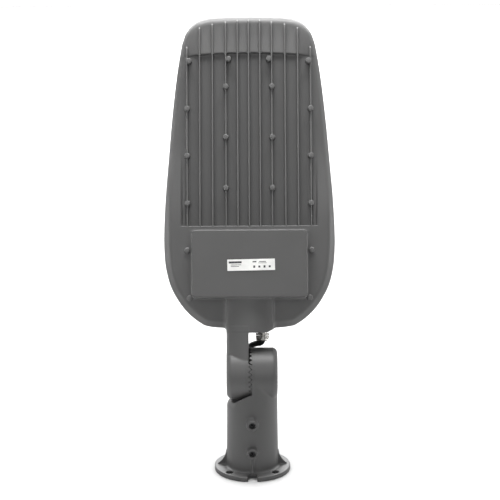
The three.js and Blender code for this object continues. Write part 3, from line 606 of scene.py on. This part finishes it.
LENS_SCREWS = [(80.5, 421.8), (83.2, 356.9), (83.2, 292.9), (83.2, 228.4)]
BOARD_SCREWS = [(27.1, 424.5), (31.2, 386.9), (31.2, 318.1), (31.2, 249.1)]
COVER_SCREWS = [(83.2, 164.5), (80.3, 100.6)]
BOSS_R, BOSS_CREST, BOSS_FILLET, BOSS_ROUND, BOSS_DRAFT = 3.6, -15.0, 1.2, 0.6, 0.2
BOSS_DROP = 0.0065  # the bosses sit a little below the screws that they belong to


def boss(x, z):
    """A screw boss with a filleted foot and a rounded crest."""
    z = z - BOSS_DROP * (z - 60)
    foot = (floor_under(x, z) if z > SPLIT_Z else REAR_Y) + FOOT_SINK
    profile = [(-foot - FOOT_ROOT, BOSS_R + BOSS_FILLET + 0.1), (-foot, BOSS_R + BOSS_FILLET)]
    for a in (30, 60, 90):
        t = math.radians(a)
        profile.append((BOSS_FILLET * (1 - math.cos(t)) - foot, BOSS_R + BOSS_FILLET * (1 - math.sin(t))))
    for a in (0, 30, 60, 90):
        t = math.radians(a)
        round_r = BOSS_R - BOSS_DRAFT - BOSS_ROUND * (1 - math.cos(t))
        profile.append((BOSS_ROUND * (math.sin(t) - 1) - BOSS_CREST, round_r))
    return turned(profile, (x, 0, z), (0, -1, 0), 28)


boss_places = mirrored(LENS_SCREWS + BOARD_SCREWS + COVER_SCREWS)
bosses = joined("head_bosses", [boss(x, z) for x, z in boss_places], paint, HEAD_MATRIX)
by_angle(bosses, 50)
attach(bosses, "head")

# ---------- knuckle teeth, meshed at rest ----------
TEETH = 32
TOOTH_ROOT, TOOTH_TIP = -5.1, -0.5
TOOTH_GAP = 0.9
TOOTH_STEPS = 8
TOOTH_FLAT = 0.5
TOOTH_TURN = math.radians(3.3)
TOOTH_INNER = 13.0
ARM_CLEAR_FROM = 12.0  # above this height the head has no teeth beside its arm


def tooth_ring(back_x, shift, flip, clear_above=None):
    """A ring of radial teeth: one face zigzags between root and tip, the other lies inside the casting."""
    points, faces = [], []
    steps = TEETH * TOOTH_STEPS
    outer = KNUCKLE_R + 0.03
    for k in range(steps):
        a = 2 * math.pi * k / steps + math.pi / 2 - TOOTH_TURN
        rise = 1 - abs(2 * (k % TOOTH_STEPS) / TOOTH_STEPS - 1)
        nearest = 2 * math.pi * round(k / TOOTH_STEPS) / TEETH + math.pi / 2 - TOOTH_TURN
        face_x = TOOTH_ROOT + (TOOTH_TIP - TOOTH_ROOT) * rise
        if clear_above is None:
            face_x = max(face_x, TOOTH_ROOT + TOOTH_FLAT) + shift
        else:
            face_x = min(face_x, TOOTH_TIP - TOOTH_FLAT)
        if clear_above is not None and outer * math.sin(a) > clear_above and math.cos(nearest) < 0.25:
            face_x = TOOTH_ROOT + shift
        for x, r in ((back_x, TOOTH_INNER), (back_x, outer), (face_x, outer), (face_x, TOOTH_INNER)):
            points.append((x, r * math.cos(a), r * math.sin(a)))
    for k in range(steps):
        n = (k + 1) % steps
        for s in range(4):
            t = (s + 1) % 4
            face = (4 * k + s, 4 * k + t, 4 * n + t, 4 * n + s)
            faces.append(face[::-1] if flip else face)
    return points, faces


head_ring = tooth_ring(-9.0, 0.0, False, ARM_CLEAR_FROM)
head_teeth = joined("head_teeth", [head_ring], paint, KNUCKLE_MATRIX)
by_angle(head_teeth, 30)
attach(head_teeth, "head")
bracket_ring = tooth_ring(4.0, TOOTH_GAP, True)
bracket_teeth = joined("bracket_teeth", [bracket_ring], spigot_painted_shade_coat, KNUCKLE_MATRIX)
by_angle(bracket_teeth, 30)
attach(bracket_teeth, "bracket")

# ---------- spigot bracket ----------
TUBE_R, TUBE_DRAFT, TUBE_LEFT_TOP = 34.8, 1.0, 131.0
SCOOP_R, SCOOP_SPREAD, SCOOP_HUMP_R = 38.7, 0.1, 35.8
RIGHT_FACE_X, BRACKET_EAR_INNER = -0.5, 1.2
FLANGE_R, FLANGE_TOP = 51.2, 6.0
NOTCH_HALF, NOTCH_CENTRE, NOTCH_FROM = 6.0, 44.0, 30.0
GUSSET_HALF, GUSSET_REACH, GUSSET_TOP = 1.6, 46.5, 26.0
GUSSET_SWEEP_R, GUSSET_SWEEP_OUT, GUSSET_SWEEP_Z = 24.4, 59.8, 27.9
SET_SCREW_HEIGHTS = (35.5, 75.3)
SET_BOSS_R, SET_BOSS_FACE, SET_BOSS_DRAFT, SET_HOLE_R = 8.0, 42.5, 0.06, 4.15
BORE_R, BORE_TOP, CHAMBER_R, CHAMBER_TOP = 30.3, 80.0, 26.0, 89.0
FLANGE_HOLE_R, FLANGE_HOLE_OUT = 5.0, 43.0
RING_HOLLOW, RING_HOLLOW_TOP = (37.0, 47.6), 3.2
ENTRY_SLOPE = math.pi / 4
ENTRY_START = (0.0, 27.0, 84.0)
ENTRY_LENGTH, ENTRY_R, ENTRY_HOLE_R = 20.0, 9.0, 6.3
CABLE_R = 4.0


def along_entry(distance):
    """A point on the cable entry's middle line."""
    out, up = distance * math.sin(ENTRY_SLOPE), distance * math.cos(ENTRY_SLOPE)
    return (0.0, ENTRY_START[1] + out, ENTRY_START[2] + up)


def tube_field(x, y, z, radius, knuckle):
    """The tube, scooped out under the head's ear on the left and running up into the ear on the right."""
    tube = radius - (TUBE_R - TUBE_DRAFT * np.clip(z, 0, 112) / 112)
    left = np.maximum(tube, z - TUBE_LEFT_TOP)
    hump = smoothstep(y, -26, -8) * (1 - smoothstep(y, 4, 15))
    scoop_r = SCOOP_R - SCOOP_SPREAD * x
    scoop = scoop_r + (SCOOP_HUMP_R - scoop_r) * hump - knuckle
    soft_edge = rounded_max(left, scoop, 9.0)
    crisp_edge = rounded_max(left, scoop, 0.9)
    side = smoothstep(-x, 21, 33) * (1 - smoothstep(y, 6, 20))
    left = crisp_edge * (1 - side) + soft_edge * side
    right = rounded_max(np.maximum(tube, z - KNUCKLE_Z), RIGHT_FACE_X - x, 0.7)
    return np.minimum(left, right)


def notch_field(x, y):
    """The two rounded notches in the flange, at the front and the back."""
    notch = np.where(
        np.abs(y) > NOTCH_CENTRE, np.abs(x) - NOTCH_HALF, np.hypot(x, np.abs(y) - NOTCH_CENTRE) - NOTCH_HALF
    )
    return np.maximum(notch, NOTCH_FROM - np.abs(y))


def gusset_field(x, y, z, radius):
    sweep = GUSSET_SWEEP_R - np.hypot(radius - GUSSET_SWEEP_OUT, z - GUSSET_SWEEP_Z)
    web = np.maximum(np.maximum(np.maximum(sweep, radius - GUSSET_REACH), z - GUSSET_TOP), 0.5 - z)
    plate_x = rounded_max(web, np.abs(y) - GUSSET_HALF, 0.6)
    plate_y = rounded_max(web, np.abs(x) - GUSSET_HALF, 0.6)
    return np.minimum(plate_x, plate_y)


def bracket_field(x, y, z):
    radius = np.hypot(x, y)
    knuckle = np.hypot(y, z - KNUCKLE_Z)
    ear = rounded_max(knuckle - KNUCKLE_R, x - EAR_OUTER, EAR_ROUND)
    ear = rounded_max(ear, BRACKET_EAR_INNER - x, 0.8)
    body = smooth_min(tube_field(x, y, z, radius, knuckle), ear, 1.2)

    notch = notch_field(x, y)
    flange = rounded_max(rounded_max(radius - FLANGE_R, -notch, 2.5), z - FLANGE_TOP, 1.4)
    flange = rounded_max(flange, -z, 0.6)
    body = smooth_min(body, flange, 3.5)
    body = smooth_min(body, gusset_field(x, y, z, radius), 1.6)
    for height in SET_SCREW_HEIGHTS:
        stem = np.hypot(x, z - height) - SET_BOSS_R - (y + 34) * SET_BOSS_DRAFT
        set_boss = np.maximum(rounded_max(stem, -SET_BOSS_FACE - y, 1.6), y + 28)
        body = smooth_min(body, set_boss, 2.4)
    out, up = math.sin(ENTRY_SLOPE), math.cos(ENTRY_SLOPE)
    along = (y - ENTRY_START[1]) * out + (z - ENTRY_START[2]) * up
    across = np.hypot(x, (y - ENTRY_START[1]) * up - (z - ENTRY_START[2]) * out)
    entry = np.maximum(rounded_max(across - ENTRY_R, along - ENTRY_LENGTH, 1.0), -3.0 - along)
    body = smooth_min(body, entry, 2.5)
    body = np.maximum(body, -z)

    bore = np.maximum(radius - BORE_R, z - BORE_TOP)
    chamber = np.maximum(radius - CHAMBER_R, z - CHAMBER_TOP)
    cut = np.minimum(bore, chamber)
    for height in SET_SCREW_HEIGHTS:
        cut = np.minimum(cut, np.maximum(np.hypot(x, z - height) - SET_HOLE_R, y + 28))
    cut = np.minimum(cut, np.maximum(across - ENTRY_HOLE_R, -8.0 - along))
    offset = FLANGE_HOLE_OUT / math.sqrt(2)
    flange_hole = np.hypot(np.abs(x) - offset, np.abs(y) - offset) - FLANGE_HOLE_R
    cut = np.minimum(cut, np.maximum(flange_hole, z - 12.0))
    cut = np.minimum(cut, np.maximum(notch, z - 9.0))
    cut = np.minimum(cut, np.maximum(slab(radius, *RING_HOLLOW), z - RING_HOLLOW_TOP))
    cut = np.minimum(cut, np.maximum(knuckle - BOLT_HOLE_R, slab(x, -6.0, 36.0)))
    cut = np.minimum(cut, np.maximum(knuckle - POCKET_R, slab(x, POCKET_FROM, 36.0)))
    return smooth_max(body, -cut, 1.0)


bracket_step = 0.6
bracket = skin("spigot_casting", bracket_field, (-53, -53, -2), (53, 53, 172), bracket_step, spigot_painted_shade_coat)
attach(bracket, "bracket")
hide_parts("spigot_bracket")

# ---------- gland nut ----------
SEAL_GAP, GLAND_BODY_FLANGE = 0.3, 3.0
NUT_TOP = NECK_LOW - SEAL_GAP - GLAND_BODY_FLANGE - SEAL_GAP
NUT_ACROSS, NUT_BORE_R = 17.6, 5.4
NUT_SIDES = 96


def gland_nut_mesh():
    """A chamfered hex nut that ends in a dome below, bored for the seal."""
    profile = [
        (0.0, NUT_BORE_R), (0.0, 9.0), (0.7, 10.3), (3.6, 10.3), (4.5, 9.4), (4.9, 8.7), (5.6, 8.5),
        (6.4, 8.0), (7.1, 7.2), (7.5, 6.2), (7.4, NUT_BORE_R), (6.0, NUT_BORE_R), (3.0, NUT_BORE_R),
    ]
    points, faces = [], []
    for drop, r in profile:
        for k in range(NUT_SIDES):
            a = 2 * math.pi * k / NUT_SIDES
            flat = NUT_ACROSS / 2 / math.cos((a + math.pi / 6) % (math.pi / 3) - math.pi / 6)
            reach = min(r, flat)
            points.append((GLAND_X + reach * math.cos(a), GLAND_Y + reach * math.sin(a), NUT_TOP - drop))
    rows = len(profile)
    for j in range(rows):
        for k in range(NUT_SIDES):
            n = (k + 1) % NUT_SIDES
            low, high = j * NUT_SIDES, ((j + 1) % rows) * NUT_SIDES
            faces.append((low + k, high + k, high + n, low + n))
    return points, faces


gland_nut = joined("gland_dome_nut", [gland_nut_mesh()], nickel, HEAD_MATRIX)
by_angle(gland_nut, 24)
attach(gland_nut, "head")
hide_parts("gland_nut")

# ---------- supply cable ----------
cable_points = [
    row_point(GLAND_X, GLAND_Y, 68), row_point(GLAND_X, GLAND_Y, 54), row_point(GLAND_X, GLAND_Y, 47),
    row_point(GLAND_X, GLAND_Y, 43.9), row_point(GLAND_X - 2.4, GLAND_Y + 2.4, 40.6),
    row_point(8.5, 12, 39.4), row_point(0.5, 22.5, 35.8),
    *[Vector(p) * MM for p in (
        (-1, 42.5, 154), (-2, 48.5, 138), (-1.4, 50.6, 121), along_entry(ENTRY_LENGTH + 9),
        along_entry(ENTRY_LENGTH - 2), along_entry(2), along_entry(-6),
    )],
]


def centripetal(points, per_span):
    """Points on a centripetal curve through the given ones."""
    p = [points[0] * 2 - points[1], *points, points[-1] * 2 - points[-2]]
    out = []
    for i in range(1, len(p) - 2):
        t = [0.0]
        for j in range(i - 1, i + 2):
            t.append(t[-1] + max((p[j + 1] - p[j]).length, 1e-6) ** 0.5)
        for s in range(per_span):
            u = t[1] + (t[2] - t[1]) * s / per_span
            a1 = p[i - 1] * ((t[1] - u) / (t[1] - t[0])) + p[i] * ((u - t[0]) / (t[1] - t[0]))
            a2 = p[i] * ((t[2] - u) / (t[2] - t[1])) + p[i + 1] * ((u - t[1]) / (t[2] - t[1]))
            a3 = p[i + 1] * ((t[3] - u) / (t[3] - t[2])) + p[i + 2] * ((u - t[2]) / (t[3] - t[2]))
            b1 = a1 * ((t[2] - u) / (t[2] - t[0])) + a2 * ((u - t[0]) / (t[2] - t[0]))
            b2 = a2 * ((t[3] - u) / (t[3] - t[1])) + a3 * ((u - t[1]) / (t[3] - t[1]))
            out.append(b1 * ((t[2] - u) / (t[2] - t[1])) + b2 * ((u - t[1]) / (t[2] - t[1])))
    out.append(points[-1].copy())
    return out


def round_tube(path, r, segments=24):
    """A closed round tube along a path."""
    points, faces = [], []
    side = (path[1] - path[0]).orthogonal().normalized()
    for i, p in enumerate(path):
        along = (path[min(i + 1, len(path) - 1)] - path[max(i - 1, 0)]).normalized()
        side = (side - along * side.dot(along)).normalized()
        up = along.cross(side)
        for k in range(segments):
            a = 2 * math.pi * k / segments
            points.append(tuple(p + (side * math.cos(a) + up * math.sin(a)) * r))
    for i in range(len(path) - 1):
        for k in range(segments):
            n = (k + 1) % segments
            faces.append((i * segments + k, i * segments + n, (i + 1) * segments + n, (i + 1) * segments + k))
    faces.append(tuple(reversed(range(segments))))
    faces.append(tuple((len(path) - 1) * segments + k for k in range(segments)))
    return points, faces


cable_path = centripetal(cable_points, 6)
cable = mesh_object("supply_cable_sheath", *round_tube(cable_path, CABLE_R * MM), cable_sheath)
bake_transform(cable)
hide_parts("supply_cable")

# ---------- lens panel ----------
DOME_R, DOME_HEIGHT = 8.0, 4.5
DOME_COLUMNS = (-66, -44, -16, 16, 44, 66)
DOME_ROWS, DOME_FIRST_Z, DOME_PITCH = 7, 222, 33
TOP_ROW_SQUEEZE = 0.92
dome_places = [
    (x * (TOP_ROW_SQUEEZE if row == DOME_ROWS - 1 else 1), DOME_FIRST_Z + row * DOME_PITCH)
    for row in range(DOME_ROWS) for x in DOME_COLUMNS
]
DOME_SPHERE = (DOME_R ** 2 + DOME_HEIGHT ** 2) / (2 * DOME_HEIGHT)


def lens_field(x, y, z):
    edge = outline_distance(x, z)
    plate = rounded_max(edge + 5.5, y - LED_Y, 0.8)
    plate = np.maximum(np.maximum(plate, 19.0 - y), SPLIT_Z + 0.5 - z)
    domes = np.full(np.broadcast(x, y, z).shape, 1e3, np.float32)
    rise = (y - LED_Y - DOME_HEIGHT + DOME_SPHERE) ** 2
    for cx, cz in dome_places:
        domes = np.minimum(domes, (x - cx) ** 2 + (z - cz) ** 2 + rise)
    domes = np.maximum(np.sqrt(domes) - DOME_SPHERE, 20.0 - y)
    return smooth_min(plate, domes, 0.8)


lens_step = 1.2
lens = skin("lens_optics", lens_field, (-112, 17, 195), (112, 29, 478), lens_step, lens_clear)
lens.data.transform(HEAD_MATRIX)
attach(lens, "head")
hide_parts("lens_panel")

BOARD_GAP, BOARD_THICK, LED_THICK, DOT_THICK, DOT_HALF = 0.3, 1.6, 0.8, 0.25, 1.5
LED_FACE_Y = FLOOR_Y + HEAD_WALL + BOARD_GAP + BOARD_THICK + LED_THICK


def chip(x, z):
    """The phosphor patch on one LED."""
    square = [(x + a * DOT_HALF, z + b * DOT_HALF) for a, b in ((-1, -1), (1, -1), (1, 1), (-1, 1))]
    points = [(u, y, v) for y in (LED_FACE_Y, LED_FACE_Y + DOT_THICK) for u, v in square]
    return points, [(0, 1, 2, 3), (7, 6, 5, 4), (0, 4, 5, 1), (1, 5, 6, 2), (2, 6, 7, 3), (3, 7, 4, 0)]


chips = joined("led_phosphor_dots", [chip(x, z) for x, z in dome_places], phosphor, HEAD_MATRIX, smooth=False)
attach(chips, "head")

# ---------- label print: plain bars, no lettering ----------
LABEL_CENTRE, LABEL_FACE = (2.0, 143.4), BULGE_Y - 0.62
LABEL_TILT = math.radians(1)
PRINT_THICK = 0.06


def bar(x, z, wide, high):
    """A printed bar, placed from the label's centre."""
    c, s = math.cos(LABEL_TILT), math.sin(LABEL_TILT)
    corners = [(x + a * wide / 2, z + b * high / 2) for a, b in ((-1, -1), (1, -1), (1, 1), (-1, 1))]
    placed = [(LABEL_CENTRE[0] + u * c - v * s, LABEL_CENTRE[1] + u * s + v * c) for u, v in corners]
    points = [(u, LABEL_FACE + depth, v) for depth in (0.0, PRINT_THICK) for u, v in placed]
    return points, [(3, 2, 1, 0), (4, 5, 6, 7), (0, 1, 5, 4), (1, 2, 6, 5), (2, 3, 7, 6), (3, 0, 4, 7)]


bars = [bar(-21, 3.6, 17, 2.6), bar(-20, 0.2, 14, 0.7), bar(-21.5, -1.8, 11, 0.7)]
bars += [bar(4.5, 3.9, 5, 1.5), bar(15, 4.0, 9, 0.9), bar(15, 2.2, 11, 0.6)]
bars += [bar(4 + 6.8 * i, -2.6, 2.6, 3.2 - 0.6 * (i % 2)) for i in range(4)]
label_print = joined("label_bars", bars, label_ink, HEAD_MATRIX, smooth=False)
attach(label_print, "head")

# ---------- finishes and softened edges on the CAD nodes that stay ----------
FINISH = {
    "cable_grommet": black_rubber, "driver_cover": paint, "lens_gasket": black_rubber,
    "cover_gasket": black_rubber, "led_board": board_white, "led_driver": grey_plastic,
    "terminal_block": grey_plastic, "surge_protector": blue_plastic, "supply_leads": blue_plastic,
    "driver_input_lead": black_rubber, "driver_output_lead": black_rubber, "gland_body": nickel,
    "gland_locknut": nickel, "gland_seal": black_rubber, "rating_label": label_film,
    "set_screw_lower": black_steel, "set_screw_upper": black_steel,
}
SHARP_EDGED = ("lens_gasket", "cover_gasket", "led_board")
EDGE_WIDTH, LABEL_EDGE_WIDTH = 0.0004, 0.00005
for node_name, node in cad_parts.items():
    look = FINISH.get(node_name, zinc)
    node.data.materials.clear()
    node.data.materials.append(look)
    if node_name in SHARP_EDGED:
        continue
    soften = node.modifiers.new("softened_edges", "BEVEL")
    soften.width = LABEL_EDGE_WIDTH if node_name == "rating_label" else EDGE_WIDTH
    soften.segments = 2
    soften.limit_method = "ANGLE"
    soften.angle_limit = math.radians(40)
    soften.harden_normals = True

# ---------- floor and light ----------
FLOOR_DROP = 0.0004  # just under the flange, so that the two faces do not touch
FLOOR_LEFT, FLOOR_RIGHT, FLOOR_FRONT, FLOOR_BACK = -6, 6, -4, 8
floor_corners = [
    (FLOOR_LEFT, FLOOR_FRONT, -FLOOR_DROP), (FLOOR_RIGHT, FLOOR_FRONT, -FLOOR_DROP),
    (FLOOR_RIGHT, FLOOR_BACK, -FLOOR_DROP), (FLOOR_LEFT, FLOOR_BACK, -FLOOR_DROP),
]
floor_mesh = bpy.data.meshes.new("floor")
floor_mesh.from_pydata(floor_corners, [], [(0, 1, 2, 3)])
floor_obj = bpy.data.objects.new("floor", floor_mesh)
bpy.context.scene.collection.objects.link(floor_obj)
floor_mat, floor_tree, floor_shader = new_material("pale_floor")
floor_grade = grade(floor_tree, "Object", 0.2, 0.5, -1.3, -0.35)
floor_tree.links.new(floor_grade, floor_shader.inputs["Base Color"])
floor_shader.inputs["Roughness"].default_value = 0.9
floor_shader.inputs["Specular IOR Level"].default_value = 0.1
floor_mesh.materials.append(floor_mat)

world = bpy.data.worlds.new("studio")
world.use_nodes = True
world_grade = grade(world.node_tree, "Generated", 0.14, 1.1, -0.35, 0.6)
backdrop = world.node_tree.nodes["Background"]
world.node_tree.links.new(world_grade, backdrop.inputs["Strength"])
backdrop.inputs["Color"].default_value = (1, 1, 1, 1)
bpy.context.scene.world = world


def area_light(name, location, target, wide, high, power, spread=180):
    """A soft box at a location, facing its target: sizes in metres, power in watts, spread in degrees."""
    data = bpy.data.lights.new(name, "AREA")
    data.shape = "RECTANGLE"
    data.size, data.size_y, data.energy = wide, high, power
    data.spread = math.radians(spread)
    light = bpy.data.objects.new(name, data)
    light.location = location
    aim = Vector(target) - Vector(location)
    light.rotation_mode = "QUATERNION"
    light.rotation_quaternion = aim.to_track_quat("-Z", "Y")
    bpy.context.scene.collection.objects.link(light)


HEAD_MIDDLE = (0, 0, 0.42)
area_light("top", (0, 0.12, 1.6), (0, 0.12, 0.5), 1.0, 0.6, 40)
area_light("front", (-0.3, -2.1, 1.2), HEAD_MIDDLE, 2.2, 1.3, 18)
for name, side in (("side_left", -1), ("side_right", 1)):
    area_light(name, (side * 1.5, -0.12, HEAD_MIDDLE[2]), HEAD_MIDDLE, 0.5, 0.3, 0.35, spread=30)
area_light("floor_behind", (0, 4.4, 3.2), (0, 4.4, 0), 7.0, 3.4, 900)

bpy.context.scene.view_settings.view_transform = "Standard"
bpy.context.scene.view_settings.look = "None"
